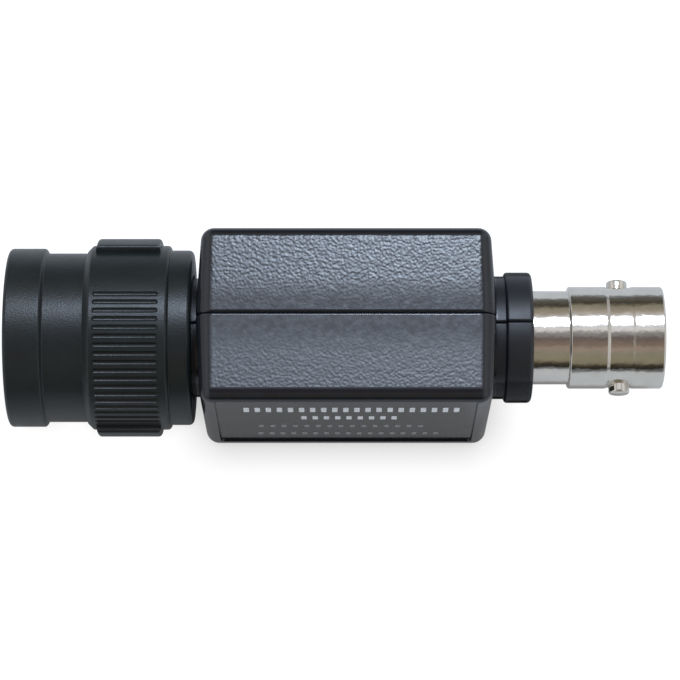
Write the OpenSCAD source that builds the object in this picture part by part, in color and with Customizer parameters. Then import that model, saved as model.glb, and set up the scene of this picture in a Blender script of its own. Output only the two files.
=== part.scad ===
// In-line oscilloscope attenuator: a coaxial bayonet plug with an insulated locking sleeve on the
// left, two moulded housing shells round a divider board in the middle, and a coaxial bayonet
// socket on the right. The connector axis is X, the socket end is +X, the label side is -Y, and
// the part lies on its -Z side face. All sizes are in millimetres.

/* [Locking sleeve] */
// Length of the moulded sleeve along the axis
sleeve_len = 17.25; // [16.5:0.05:19]
// Outer radius of the front rim
rim_r = 8.4; // [8.1:0.05:8.6]
// Length of the front rim
rim_len = 3.6; // [2:0.1:4.5]
// Outer radius of the plain tube behind the rim
tube_r = 7.95; // [7.7:0.05:8.1]
// Distance from the sleeve's front to the grip collar
collar_start = 7.37; // [6.5:0.01:7.6]
// Length of the grip collar
collar_len = 7.79; // [7.5:0.01:8.4]
// Outer radius of the grip collar
collar_r = 8.67; // [8.4:0.01:8.9]
// Outer radius of the sleeve behind the collar
tail_r = 8.23; // [8:0.01:8.35]
// Outer radius of the two finger pads
pad_r = 9.32; // [9:0.01:9.4]
// Length of each finger pad
pad_len = 6.1; // [4:0.1:6.8]
// Width of each finger pad round the sleeve, in degrees
pad_span = 41.8; // [30:0.2:46]
// Direction of the first pad from +Z towards +Y, in degrees
pad_turn = 73; // [60:1:80]
// Smooth land between the first pad and the ridges, in degrees
land_span = 36.2; // [25:0.2:45]
// Number of grooves between the ridges on each side
ridge_grooves = 19; // [12:1:22]
// Radius of the tool that cuts each groove
groove_r = 0.27; // [0.25:0.01:0.38]
// Depth of each groove at its middle
groove_depth = 0.2; // [0.1:0.01:0.24]
// Length of each groove along the axis
groove_len = 6.1; // [4:0.1:6.6]
// Inner radius of the sleeve's open mouth
mouth_r = 6.9; // [6.7:0.05:7.3]
// Depth of the mouth in front of the metal ring
mouth_depth = 1.75; // [1:0.05:2.4]
// Length of the plastic shelf behind the metal ring
shelf_len = 1.95; // [1.2:0.05:2.2]

/* [Bayonet ring] */
// Outer radius of the metal ring in the sleeve
ring_r = 6.3; // [6.1:0.05:6.5]
// Bore radius that passes over a mating barrel
ring_bore_r = 4.92; // [4.89:0.01:5]
// Length of the ring's inner lip, which the washer bears on
lip_len = 0.8; // [0.6:0.05:1.2]
// Outer radius of the two slots for the mating pins
slot_r = 5.65; // [5.58:0.01:5.75]
// Width of each slot, square to its run
slot_w = 2.2; // [2.1:0.05:2.5]
// Turn of each slot round the ring, in degrees
slot_turn = 78; // [60:1:85]
// Length of each slot along the axis
slot_len = 5.2; // [4.8:0.1:6]
// Radius of the detent at the end of each slot
detent_r = 1.2; // [1.1:0.05:1.4]

/* [Plug] */
// Radius of the plug body's shank, which the ring's lip turns on
shank_r = 4; // [3.8:0.05:4.1]
// Radius of the plug body's flange
flange_r = 4.62; // [4.5:0.02:4.65]
// Thickness of the plug body's flange
flange_t = 1.1; // [0.8:0.1:1.4]
// Thickness of the thrust washer
washer_t = 0.4; // [0.3:0.05:0.6]
// Free height of the wave spring
spring_h = 1.2; // [1:0.05:1.5]
// Thickness of the wave spring's sheet
spring_t = 0.28; // [0.2:0.02:0.34]
// Number of waves round the spring
spring_waves = 3; // [2:1:4]
// Outer radius of the slotted outer contact
contact_r = 4.05; // [4:0.01:4.08]
// Wall of the slotted outer contact
contact_wall = 0.5; // [0.4:0.02:0.6]
// Length of the outer contact in front of the flange
contact_len = 8.2; // [7.6:0.1:8.8]
// Width of the saw cuts in the outer contact
contact_slot_w = 0.5; // [0.4:0.05:0.7]
// Length of the saw cuts in the outer contact
contact_slot_len = 5; // [3:0.1:6]
// Outer radius of the contact's tail inside the plug body
contact_tail_r = 3.4; // [3.3:0.02:3.5]
// Thickness of the front gasket
gasket_t = 1; // [0.7:0.05:1.2]
// Recess of the plug insulator behind the contact's tip
plug_recess = 0.5; // [0.2:0.05:1]
// Radius of the well round the centre pin
well_r = 2.45; // [2.4:0.01:2.55]
// Depth of the well round the centre pin
well_depth = 6; // [5:0.1:6.4]
// Radius of the centre pin's tip
pin_r = 0.675; // [0.66:0.005:0.685]
// Recess of the centre pin behind the contact's tip
pin_recess = 0.3; // [0.1:0.05:0.8]
// Width across the flats of the square plates that the shells hold
plate_w = 11; // [10:0.1:12]
// Thickness of the square plates
plate_t = 1.3; // [1:0.1:1.6]

/* [Housing] */
// Length of the housing box along the axis
house_len = 27.7; // [25:0.1:30]
// Half the housing's size from the label face to the back face
house_hy = 8.3; // [8:0.05:8.8]
// Half the housing's size from side face to side face
house_hz = 9.45; // [9.4:0.05:10]
// Radius of the rounded edges
edge_r = 1.25; // [0.8:0.05:1.5]
// Radius of the upright corners at the parting line
corner_r = 1.65; // [0.8:0.05:1.8]
// Draft of the end faces, in degrees
draft = 3; // [1:0.5:4]
// Wall thickness of the shells
wall = 1.35; // [1.1:0.05:1.6]
// Depth of the narrow groove along the parting line
seam = 0.14; // [0.08:0.02:0.2]
// Margin between the housing's ends and the sunk label field
label_margin = 1.95; // [1.9:0.05:2.6]
// Depth of the sunk label field
label_depth = 0.2; // [0.05:0.01:0.45]
// Height of the sunk label field's upper edge above the axis
label_top = 8.5; // [7:0.05:8.6]
// Distance of the sunk label field's lower edge below the axis
label_foot = 7.7; // [6.5:0.05:8.1]
// Width of the tongue along the parting line
tongue_w = 0.5; // [0.4:0.05:0.6]
// Height of the tongue along the parting line
tongue_h = 0.6; // [0.4:0.05:0.8]
// Visible gap between the sleeve and the housing
sleeve_gap = 0.47; // [0.4:0.01:1.2]
// Radius of the housing's neck inside the sleeve
neck_r = 5.6; // [5.4:0.02:5.7]
// Radius of the neck at the socket end
socket_neck_r = 5.79; // [5.4:0.01:5.9]
// Length of the neck at the socket end
neck_len = 0.98; // [0.8:0.01:2]
// Radius of the collar at the socket end
end_collar_r = 6.15; // [6:0.01:6.3]
// Length of the collar at the socket end
end_collar_len = 2.55; // [2:0.05:3]

/* [Socket] */
// Outer radius of the socket's rear barrel
rear_r = 4.4; // [4.2:0.05:4.5]
// Length of the rear barrel in front of the collar
rear_len = 3.45; // [2.5:0.05:4]
// Outer radius of the socket's bayonet barrel
barrel_r = 4.8; // [4.78:0.01:4.85]
// Length of the bayonet barrel
barrel_len = 8.9; // [8.7:0.05:9.6]
// Bore radius of the bayonet barrel
socket_bore_r = 4.07; // [4.05:0.005:4.08]
// Depth of the bore
socket_depth = 8.4; // [8.3:0.02:8.5]
// Distance from the socket's face to the bayonet pins
stud_back = 4.12; // [4:0.02:4.3]
// Radius of the bayonet pins
stud_r = 0.975; // [0.96:0.005:1.03]
// Radius of the circle that the pins' tips reach
stud_reach = 5.5; // [5.48:0.01:5.54]
// Depth of the shallow turned band round the pins
band_dip = 0.08; // [0.04:0.01:0.12]
// Distance from the pins to either edge of the band
band_margin = 0.15; // [0.1:0.05:0.3]
// Radius of the socket insulator's nose
nose_r = 2.36; // [2.3:0.01:2.4]
// Recess of the nose behind the socket's face
nose_recess = 3.3; // [3.2:0.02:3.6]
// Radius of the socket's centre contact
tube_contact_r = 1.08; // [1:0.01:1.2]
// Radius of the hole in the centre contact
tube_contact_bore = 0.69; // [0.68:0.005:0.72]

/* [Board] */
// Thickness of the circuit board
board_t = 1; // [0.8:0.1:1.6]
// Half the width of the circuit board
board_hz = 7.2; // [6.6:0.1:7.6]
// Height of the screening can over the board
can_h = 5.6; // [5:0.1:6]
// Sheet thickness of the screening can
can_t = 0.3; // [0.2:0.05:0.5]
// Half the width of the screening can
can_hz = 5.2; // [4.8:0.1:5.4]
// Radius of the component leads and of the connectors' solder tails
lead_r = 0.3; // [0.25:0.05:0.35]
// Body radius of the resistors
resistor_r = 1.15; // [0.9:0.05:1.25]
// Body length of the series resistor
series_len = 6.5; // [5:0.1:7]
// Body length of the shunt resistor
shunt_len = 4; // [3:0.1:4.4]
// Radius of the ceramic capacitors
disc_r = 2.1; // [1.6:0.05:2.2]
// Thickness of the ceramic capacitors
disc_t = 1.5; // [1:0.1:1.8]

/* [Hidden] */
$fn = 96;

// Clearance between pieces that are pressed or moulded together
snug = 0.02;
// Radial clearance where one piece turns on another
running = 0.05;
// Axial clearance between flat faces that turn or slide past each other
face_gap = 0.08;
// Clearance round what moves with room to spare
free_gap = 0.35;
// A cut runs this far past the face it opens
past = 0.5;

// Places along the axis, from the sleeve's front to the socket's face
whole_len = sleeve_len + sleeve_gap + house_len + neck_len + end_collar_len + rear_len + barrel_len;
sleeve_x0 = -whole_len / 2;
sleeve_x1 = sleeve_x0 + sleeve_len;
house_x0 = sleeve_x1 + sleeve_gap;
house_x1 = house_x0 + house_len;
end_collar_x0 = house_x1 + neck_len;
end_collar_x1 = end_collar_x0 + end_collar_len;
barrel_x0 = end_collar_x1 + rear_len;
barrel_x1 = barrel_x0 + barrel_len;

// Places on the sleeve and in its ring
rim_x1 = sleeve_x0 + rim_len;
collar_x0 = sleeve_x0 + collar_start;
collar_x1 = collar_x0 + collar_len;
pad_x0 = collar_x0 + (collar_len - pad_len) / 2;
groove_x0 = collar_x0 + (collar_len - groove_len) / 2;
ring_x0 = sleeve_x0 + mouth_depth;
ring_x1 = sleeve_x1 - shelf_len;
lip_x0 = ring_x1 - lip_len;
lip_bore_r = shank_r + running;
detent_x = ring_x0 + slot_len;

// Places along the plug
washer_x0 = lip_x0 - face_gap - washer_t;
spring_x0 = washer_x0 - face_gap - spring_h;
flange_x0 = spring_x0 - face_gap - flange_t;
gasket_x0 = flange_x0 - gasket_t;
contact_x0 = flange_x0 - contact_len;
contact_step_len = 0.6;
contact_step_x = flange_x0 - contact_step_len;
contact_tail_len = 4.5;
contact_x1 = flange_x0 + contact_tail_len;
contact_bore_r = contact_r - contact_wall;
contact_tail_bore_r = contact_tail_r - contact_wall;
plug_nose_x0 = contact_x0 + plug_recess;
well_x1 = plug_nose_x0 + well_depth;
pin_x0 = contact_x0 + pin_recess;
pin_root_r = pin_r + 0.3;

// Places inside the housing
cavity_x0 = house_x0 + wall;
cavity_x1 = house_x1 - wall;
cavity_hy = house_hy - wall;
cavity_hz = house_hz - wall;
plug_plate_x0 = cavity_x0 + snug;
plug_plate_x1 = plug_plate_x0 + plate_t;
socket_plate_x1 = cavity_x1 - snug;
socket_plate_x0 = socket_plate_x1 - plate_t;
rib_t = 1;
plug_rib_x = plug_plate_x1 + snug;
socket_rib_x = socket_plate_x0 - snug - rib_t;
rib_bore_r = shank_r + 0.3;
neck_x0 = ring_x1 + face_gap;
rear_open_r = neck_r + free_gap;
tongue_inset = (wall - tongue_w) / 2;

// Places inside the socket
socket_floor_x = barrel_x1 - socket_depth;
socket_wall = 1.1;
socket_rear_bore_r = rear_r - socket_wall;
nose_x1 = barrel_x1 - nose_recess;
nose_lip = 0.35;
stud_x = barrel_x1 - stud_back;
stud_root = socket_bore_r + 0.08;

// Places on the board, whose upper face carries the connectors' solder tails
solder_tail_r = 0.5;
solder_tail_len = 1.8;
board_top = -solder_tail_r - snug;
board_x0 = plug_rib_x + rib_t + 0.1;
board_x1 = socket_rib_x - 0.1;
can_x0 = board_x0 + 0.8;
can_x1 = board_x1 - 0.8;
can_notch = 1;
post_r = 0.8;
post_inset = 1.3;
post_z = (board_hz + can_hz) / 2;
link_w = 1.2;
link_t = 0.3;
link_z = (rib_bore_r + solder_tail_r) / 2 + 0.6;
lead_out = 0.9;
lead_below = 0.8;
disc_lift = 0.4;
disc_leads = 1.2;
series_margin = 2.2;
series_x = can_x0 + series_margin + series_len / 2;
series_z = -can_hz / 2 - 0.5;
series_cap_z = can_hz / 2;
shunt_margin = 1.2;
shunt_x = can_x1 - shunt_margin - resistor_r;
shunt_cap_x = shunt_x - resistor_r - disc_t / 2 - 0.6;

// Colours as moulded, plated or made
BLACK = [0.07, 0.08, 0.09];
NICKEL = [0.74, 0.73, 0.70];
GOLD = [0.83, 0.66, 0.32];
WHITE = [0.92, 0.92, 0.90];
TIN = [0.70, 0.71, 0.72];
STEEL = [0.60, 0.60, 0.61];
GREEN = [0.10, 0.33, 0.20];

// Points of an arc about a centre, from one angle to another
function arc(cx, cy, r, from, to, steps = 6) = [
    for (i = [0:steps])
        let (a = from + (to - from) * i / steps)
        [cx + r * cos(a), cy + r * sin(a)]
];

// A solid turned about the X axis from an outline of [radius, place along X]
module turned(outline) rotate([0, 90, 0]) rotate_extrude() polygon(outline);

// A round bar or bore along X
module round_x(x0, x1, r) translate([x0, 0, 0]) rotate([0, 90, 0]) cylinder(h = x1 - x0, r = r);

// A round bar or bore along Y
module round_y(x, z, y0, y1, r) translate([x, y0, z]) rotate([-90, 0, 0]) cylinder(h = y1 - y0, r = r);

// A plain tube along X
module tube_x(x0, x1, inner, outer) difference() {
    round_x(x0, x1, outer);
    round_x(x0 - past, x1 + past, inner);
}

// A block given by its lowest and highest corners
module block(low, high) translate(low) cube(high - low);

// Turns what is drawn at +Z by an angle from +Z towards +Y
module around(angle) rotate([-angle, 0, 0]) children();

// One finger pad: a band with chamfered ends, as wide as pad_span
module finger_pad(turn) {
    soft = 0.25;
    pad_x1 = pad_x0 + pad_len;
    root = collar_r - 0.5;
    outline = [[root, pad_x0], [pad_r - soft, pad_x0], [pad_r, pad_x0 + soft],
        [pad_r, pad_x1 - soft], [pad_r - soft, pad_x1], [root, pad_x1]];
    rotate([0, 90, 0]) rotate([0, 0, 180 - turn - pad_span / 2])
        rotate_extrude(angle = pad_span) polygon(outline);
}

// The grooves that leave ridges between the land of one pad and the back of the other
module ridge_cuts(turn) {
    start = turn - pad_span / 2 - land_span;
    span = 180 - pad_span - land_span;
    for (i = [0:ridge_grooves - 1])
        around(start - span * (i + 0.5) / ridge_grooves)
            translate([0, 0, collar_r + groove_r - groove_depth])
                round_x(groove_x0, groove_x0 + groove_len, groove_r);
}

// Moulded sleeve that the user grips: rim, tube, ridged collar and finger pads in one piece
module locking_sleeve() color(BLACK) {
    front_round = 0.3;
    mouth_chamfer = 0.3;
    collar_lead = 0.5;
    collar_rise = 0.5;
    collar_round = collar_r - tail_r;
    tail_round = 0.45;
    outline = concat(
        [[mouth_r, ring_x0], [mouth_r, sleeve_x0 + mouth_chamfer], [mouth_r + mouth_chamfer, sleeve_x0]],
        arc(rim_r - front_round, sleeve_x0 + front_round, front_round, -90, 0),
        [[rim_r, rim_x1 - 0.1], [tube_r, rim_x1], [tube_r, collar_x0]],
        [[collar_r - collar_rise, collar_x0], [collar_r, collar_x0 + collar_lead]],
        arc(collar_r - collar_round, collar_x1 - collar_round, collar_round, 0, 90),
        arc(tail_r - tail_round, sleeve_x1 - tail_round, tail_round, 0, 90),
        [[rear_open_r, sleeve_x1], [rear_open_r, ring_x1],
            [ring_r + snug, ring_x1], [ring_r + snug, ring_x0]]);
    difference() {
        turned(outline);
        ridge_cuts(pad_turn);
        ridge_cuts(pad_turn + 180);
    }
    finger_pad(pad_turn);
    finger_pad(pad_turn + 180);
}

// A slot that winds round the ring's bore from a straight mouth to a round detent
module bayonet_slot(turn) {
    mean_r = (ring_bore_r + slot_r) / 2;
    run = mean_r * slot_turn * PI / 180;
    across = slot_w / sin(atan2(slot_len, run));
    half = across / mean_r * 90 / PI;
    deep_r = ring_bore_r - 0.4;
    entry = 0.3;
    outline = concat(arc(0, 0, slot_r, -half, half), arc(0, 0, deep_r, half, -half));
    rotate([turn, 0, 0]) {
        translate([ring_x0 - past, 0, 0]) rotate([0, 90, 0])
            linear_extrude(height = past + entry) polygon(outline);
        translate([ring_x0, 0, 0]) rotate([0, 90, 0])
            linear_extrude(height = slot_len, twist = -slot_turn, slices = 24, segments = len(outline))
                polygon(outline);
        rotate([slot_turn, 0, 0]) translate([detent_x, 0, -slot_r]) cylinder(h = slot_r, r = detent_r);
    }
}

// Metal ring pressed into the sleeve, with two winding slots and an inner lip at its rear
module bayonet_ring() color(NICKEL) {
    chamfer = 0.35;
    difference() {
        turned([[ring_bore_r + chamfer, ring_x0], [ring_r - 0.15, ring_x0], [ring_r, ring_x0 + 0.15],
            [ring_r, ring_x1], [lip_bore_r, ring_x1], [lip_bore_r, lip_x0], [ring_bore_r, lip_x0],
            [ring_bore_r, ring_x0 + chamfer]]);
        bayonet_slot(0);
        bayonet_slot(180);
    }
}

// Flat washer between the wave spring and the ring's lip
module thrust_washer() color(STEEL) tube_x(washer_x0, washer_x0 + washer_t, lip_bore_r, flange_r);

// Thin sprung ring whose height rises and falls round its circle
module wave_spring() color(STEEL) {
    steps = 48;
    inner_r = shank_r + 0.12;
    swing = (spring_h - spring_t) / 2;
    points = [
        for (i = [0:steps - 1])
            let (a = 360 * i / steps, low = spring_x0 + swing * (1 + sin(spring_waves * a)))
            for (corner = [[low, inner_r], [low, flange_r],
                [low + spring_t, flange_r], [low + spring_t, inner_r]])
                [corner[0], corner[1] * sin(a), corner[1] * cos(a)]
    ];
    faces = [
        for (i = [0:steps - 1], k = [0:3])
            let (a = 4 * i + k, b = 4 * i + (k + 1) % 4, c = 4 * ((i + 1) % steps) + (k + 1) % 4,
                d = 4 * ((i + 1) % steps) + k)
            each [[a, d, c], [a, c, b]]
    ];
    polyhedron(points = points, faces = faces);
}

// Turned body of the plug: a flange in the ring and a shank that the shells hold
module plug_body() color(NICKEL) turned([
    [contact_tail_r + snug, flange_x0], [flange_r, flange_x0], [flange_r, flange_x0 + flange_t],
    [shank_r, flange_x0 + flange_t], [shank_r, plug_plate_x1], [contact_tail_bore_r, plug_plate_x1],
    [contact_tail_bore_r, contact_x1 + snug], [contact_tail_r + snug, contact_x1 + snug]]);

// Soft ring that a mating barrel's face presses on
module plug_gasket() color("firebrick") tube_x(gasket_x0, flange_x0, contact_r + snug, flange_r);

// Sprung outer contact with four saw cuts, stepped down to a tail that is pressed into the plug body
module outer_contact() color(GOLD) {
    tip = 0.2;
    relief = 0.2;
    difference() {
        turned([[contact_bore_r, contact_x0], [contact_r - tip, contact_x0], [contact_r, contact_x0 + tip],
            [contact_r, gasket_x0], [contact_r - relief, gasket_x0], [contact_r - relief, flange_x0],
            [contact_tail_r, flange_x0], [contact_tail_r, contact_x1], [contact_tail_bore_r, contact_x1],
            [contact_tail_bore_r, contact_step_x], [contact_bore_r, contact_step_x]]);
        for (turn = [45, 135])
            rotate([turn, 0, 0])
                block([contact_x0 - past, -contact_slot_w / 2, -contact_r - past],
                    [contact_x0 + contact_slot_len, contact_slot_w / 2, contact_r + past]);
    }
}

// Insulator with a round well in its nose, which takes a mating socket's nose
module plug_insulator() color(WHITE) turned([
    [well_r, plug_nose_x0], [contact_bore_r - snug, plug_nose_x0],
    [contact_bore_r - snug, contact_step_x - snug], [contact_tail_bore_r - snug, contact_step_x - snug],
    [contact_tail_bore_r - snug, plug_plate_x1],
    [pin_root_r + snug, plug_plate_x1], [pin_root_r + snug, well_x1], [well_r, well_x1]]);

// Centre pin with a pointed tip, a thicker root in the insulator and a solder tail on the board
module centre_pin() color(GOLD) turned([
    [0, pin_x0], [0.22, pin_x0], [pin_r, pin_x0 + 0.9], [pin_r, well_x1], [pin_root_r, well_x1],
    [pin_root_r, plug_plate_x1], [solder_tail_r, plug_plate_x1],
    [solder_tail_r, board_x0 + solder_tail_len], [0, board_x0 + solder_tail_len]]);

// Square plate pressed on the rear of the shank, which stops it turning in the shells
module plug_plate() color(NICKEL) difference() {
    block([plug_plate_x0, -plate_w / 2, -plate_w / 2], [plug_plate_x1, plate_w / 2, plate_w / 2]);
    round_x(plug_plate_x0 - past, plug_plate_x1 + past, shank_r + snug);
}

// Outside of one half of the housing box, with rounded edges, drafted ends and a seam chamfer
module half_box(side) {
    lean = house_hy * tan(draft);
    upright = [-90 * side, 0, 0];
    dome_y = house_hy - edge_r;
    hull() for (z = [-1, 1]) {
        for (x = [house_x0 + lean + edge_r, house_x1 - lean - edge_r])
            translate([x, side * dome_y, z * (house_hz - edge_r)]) rotate(upright)
                rotate_extrude($fn = 32) polygon(concat([[0, 0]], arc(0, 0, edge_r, 0, 90, 8)));
        for (x = [house_x0 + corner_r, house_x1 - corner_r])
            translate([x, 0, z * (house_hz - corner_r)]) rotate(upright)
                cylinder(h = seam, r1 = corner_r - seam, r2 = corner_r, $fn = 32);
    }
}

// Outline of the cavity grown by an offset, with its four corners cut
function cavity_outline(offset, cut) =
    let (x0 = cavity_x0 - offset, x1 = cavity_x1 + offset, z = cavity_hz + offset) [
        [x0 + cut, -z], [x1 - cut, -z], [x1, -z + cut], [x1, z - cut],
        [x1 - cut, z], [x0 + cut, z], [x0, z - cut], [x0, -z + cut]
    ];

// A closed ring round the cavity, inside the wall, for the tongue and its groove
module rim_ring(slack, height) rotate([-90, 0, 0]) translate([0, 0, -past])
    linear_extrude(height = height + past) difference() {
        polygon(cavity_outline(tongue_inset + tongue_w + slack, 0.8));
        polygon(cavity_outline(tongue_inset - slack, 0.5));
    }

// A rib across one shell that holds a square plate against the end wall
module plate_rib(side, x0) difference() {
    block([x0, min(0, side * (cavity_hy + snug)), -cavity_hz - snug],
        [x0 + rib_t, max(0, side * (cavity_hy + snug)), cavity_hz + snug]);
    round_x(x0 - past, x0 + rib_t + past, rib_bore_r);
}

// One moulded half of the housing with its half necks, ribs and board posts: -1 is the label side
module shell(side, post_to) {
    seam_cut = seam * 1.4;
    collar_round = 0.3;
    inside = side * (cavity_hy + snug);
    difference() {
        union() {
            difference() {
                union() {
                    half_box(side);
                    intersection() {
                        union() {
                            round_x(neck_x0, house_x0 + wall, neck_r);
                            round_x(house_x1 - wall, end_collar_x0 + snug, socket_neck_r);
                            turned(concat(
                                [[0, end_collar_x0], [end_collar_r, end_collar_x0]],
                                arc(end_collar_r - collar_round, end_collar_x1 - collar_round,
                                    collar_round, 0, 90, 4),
                                [[0, end_collar_x1]]));
                        }
                        block([neck_x0 - past, min(0, side * house_hy), -house_hz],
                            [end_collar_x1 + past, max(0, side * house_hy), house_hz]);
                    }
                }
                block([cavity_x0, -cavity_hy, -cavity_hz], [cavity_x1, cavity_hy, cavity_hz]);
            }
            plate_rib(side, plug_rib_x);
            plate_rib(side, socket_rib_x);
            for (x = [board_x0 + post_inset, board_x1 - post_inset], z = [-post_z, post_z])
                round_y(x, z, min(post_to, inside), max(post_to, inside), post_r);
        }
        round_x(neck_x0 - past, cavity_x0 + past, shank_r + snug);
        round_x(cavity_x1 - past, end_collar_x1 + past, rear_r + snug);
        for (place = [[neck_x0, house_x0, neck_r], [house_x1, end_collar_x0, socket_neck_r],
                [end_collar_x0, end_collar_x1, end_collar_r]], z = [-1, 1])
            translate([0, 0, z * place[2]]) rotate([45, 0, 0])
                block([place[0], -seam_cut / 2, -seam_cut / 2], [place[1], seam_cut / 2, seam_cut / 2]);
    }
}

// Half of the housing that carries the sunk label field and the tongue
module label_shell() color(BLACK) difference() {
    union() {
        shell(-1, board_top - board_t);
        intersection() {
            rim_ring(0, tongue_h);
            block([house_x0, -past, -house_hz], [house_x1, tongue_h, house_hz]);
        }
    }
    block([house_x0 + label_margin, -house_hy - past, -label_foot],
        [house_x1 - label_margin, -house_hy + label_depth, label_top]);
    round_x(neck_x0 - past, cavity_x0 + past, shank_r + snug);
    round_x(cavity_x1 - past, end_collar_x1 + past, rear_r + snug);
}

// The other half of the housing, with the groove that takes the tongue
module back_shell() color(BLACK) difference() {
    shell(1, board_top);
    rim_ring(running, tongue_h + running);
}

// Turned socket body: a square flange in the housing, a rear barrel and a bayonet barrel
module socket_shell() color(NICKEL) {
    chamfer = 0.25;
    bite = 0.15;
    band_half = stud_r + band_margin;
    difference() {
        union() {
            turned([[socket_rear_bore_r, socket_plate_x0], [rear_r, socket_plate_x0], [rear_r, barrel_x0],
                [barrel_r - chamfer, barrel_x0], [barrel_r, barrel_x0 + chamfer],
                [barrel_r, stud_x - band_half], [barrel_r - band_dip, stud_x], [barrel_r, stud_x + band_half],
                [barrel_r, barrel_x1 - chamfer], [barrel_r - chamfer, barrel_x1],
                [socket_bore_r + chamfer, barrel_x1],
                [socket_bore_r, barrel_x1 - chamfer], [socket_bore_r, socket_floor_x],
                [socket_rear_bore_r, socket_floor_x]]);
            difference() {
                block([socket_plate_x0, -plate_w / 2, -plate_w / 2],
                    [socket_plate_x1, plate_w / 2, plate_w / 2]);
                round_x(socket_plate_x0 - past, socket_plate_x1 + past, rear_r - bite);
            }
        }
        for (turn = [0, 180])
            rotate([turn, 0, 0]) round_y(stud_x, 0, stud_root - bite, barrel_r + past, stud_r + snug);
    }
}

// The two pins that a mating plug's slots ride on, pressed into the barrel's wall
module bayonet_pins() color(NICKEL) {
    crown = 0.2;
    for (side = [0, 180])
        rotate([side, 0, 0]) translate([stud_x, 0, 0]) rotate([-90, 0, 0])
            rotate_extrude()
                polygon([[0, stud_root], [stud_r, stud_root], [stud_r, stud_reach - crown],
                    [stud_r - crown, stud_reach], [0, stud_reach]]);
}

// Socket insulator: a thick root in the rear barrel and a thin nose with a closed lip
module socket_insulator() color(WHITE) {
    entry_r = tube_contact_bore + 0.15;
    turned([
        [tube_contact_r + snug, socket_plate_x0], [socket_rear_bore_r - snug, socket_plate_x0],
        [socket_rear_bore_r - snug, socket_floor_x], [nose_r, socket_floor_x], [nose_r, nose_x1 - 0.2],
        [nose_r - 0.2, nose_x1], [entry_r, nose_x1], [entry_r, nose_x1 - nose_lip],
        [tube_contact_r + snug, nose_x1 - nose_lip]]);
}

// Centre contact of the socket: a slotted tube in front and a solder tail behind
module socket_contact() color(GOLD) {
    mouth_x = nose_x1 - nose_lip - snug;
    slit = 0.25;
    slit_len = 4;
    blind_end = 1;
    bore_x0 = mouth_x - slit_len - blind_end;
    difference() {
        turned([
            [0, board_x1 - solder_tail_len], [solder_tail_r, board_x1 - solder_tail_len],
            [solder_tail_r, socket_plate_x0], [tube_contact_r, socket_plate_x0], [tube_contact_r, mouth_x],
            [tube_contact_bore, mouth_x], [tube_contact_bore, bore_x0], [0, bore_x0]]);
        for (turn = [0, 90])
            rotate([turn, 0, 0])
                block([mouth_x - slit_len, -slit / 2, -tube_contact_r - past],
                    [mouth_x + past, slit / 2, tube_contact_r + past]);
    }
}

// Places of the component leads on the board, as [X, Z]
series_leads = [for (side = [-1, 1]) [series_x + side * (series_len / 2 + lead_out), series_z]];
series_cap_leads = [for (side = [-1, 1]) [series_x + side * disc_leads, series_cap_z]];
shunt_leads = [for (side = [-1, 1]) [shunt_x, side * (shunt_len / 2 + lead_out)]];
shunt_cap_leads = [for (side = [-1, 1]) [shunt_cap_x, side * disc_leads]];

// Divider board, drilled for every lead
module circuit_board() color(GREEN) difference() {
    block([board_x0, board_top - board_t, -board_hz], [board_x1, board_top, board_hz]);
    for (place = concat(series_leads, series_cap_leads, shunt_leads, shunt_cap_leads))
        round_y(place[0], place[1], board_top - board_t - past, board_top + past, lead_r + 0.1);
}

// One lead that goes down through the board from a given height
module lead(place, from) round_y(place[0], place[1], board_top - board_t - lead_below, from, lead_r);

// A resistor that lies along X about the origin, with wider ends and its two straight leads
module resistor(length) {
    cap_len = 0.9;
    waist = 0.12;
    turned([
        [0, -length / 2], [resistor_r - 0.3, -length / 2], [resistor_r, -length / 2 + 0.3],
        [resistor_r, -length / 2 + cap_len], [resistor_r - waist, -length / 2 + cap_len + waist],
        [resistor_r - waist, length / 2 - cap_len - waist], [resistor_r, length / 2 - cap_len],
        [resistor_r, length / 2 - 0.3], [resistor_r - 0.3, length / 2], [0, length / 2]]);
    reach = length / 2 + lead_out + lead_r * 0.8;
    round_x(-reach, reach, lead_r - 0.03);
}

resistor_y = board_top + resistor_r + 0.1;

module series_resistor() color("royalblue") {
    translate([series_x, resistor_y, series_z]) resistor(series_len);
    for (place = series_leads) lead(place, resistor_y + lead_r * 0.8);
}

module shunt_resistor() color("royalblue") {
    translate([shunt_x, resistor_y, 0]) rotate([0, 90, 0]) resistor(shunt_len);
    for (place = shunt_leads) lead(place, resistor_y + lead_r * 0.8);
}

// A ceramic disc that stands on the board about its upright axis Z
module ceramic_disc() {
    soft = 0.45;
    rotate_extrude()
        polygon([[0, -disc_t / 2], [disc_r - soft, -disc_t / 2], [disc_r, -disc_t / 2 + soft],
            [disc_r, disc_t / 2 - soft], [disc_r - soft, disc_t / 2], [0, disc_t / 2]]);
}

disc_y = board_top + disc_lift + disc_r;

module series_capacitor() color("darkorange") {
    translate([series_x, disc_y, series_cap_z]) ceramic_disc();
    for (place = series_cap_leads) lead(place, disc_y);
}

module shunt_capacitor() color("darkorange") {
    translate([shunt_cap_x, disc_y, 0]) rotate([0, 90, 0]) ceramic_disc();
    for (place = shunt_cap_leads) lead(place, disc_y);
}

// Folded sheet can over the components, with a notch at each end for a solder tail
module screen_can() color(TIN) difference() {
    block([can_x0, board_top, -can_hz], [can_x1, board_top + can_h, can_hz]);
    block([can_x0 + can_t, board_top - past, -can_hz + can_t],
        [can_x1 - can_t, board_top + can_h - can_t, can_hz - can_t]);
    block([can_x0 - past, board_top - past, -can_notch],
        [can_x1 + past, board_top + 2 * solder_tail_r + 0.6, can_notch]);
}

// Two flat links from a square plate's face to the end of the can
module earth_links(x0, x1) for (z = [-link_z, link_z])
    block([x0, board_top, z - link_w / 2], [x1, board_top + link_t, z + link_w / 2]);

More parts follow.
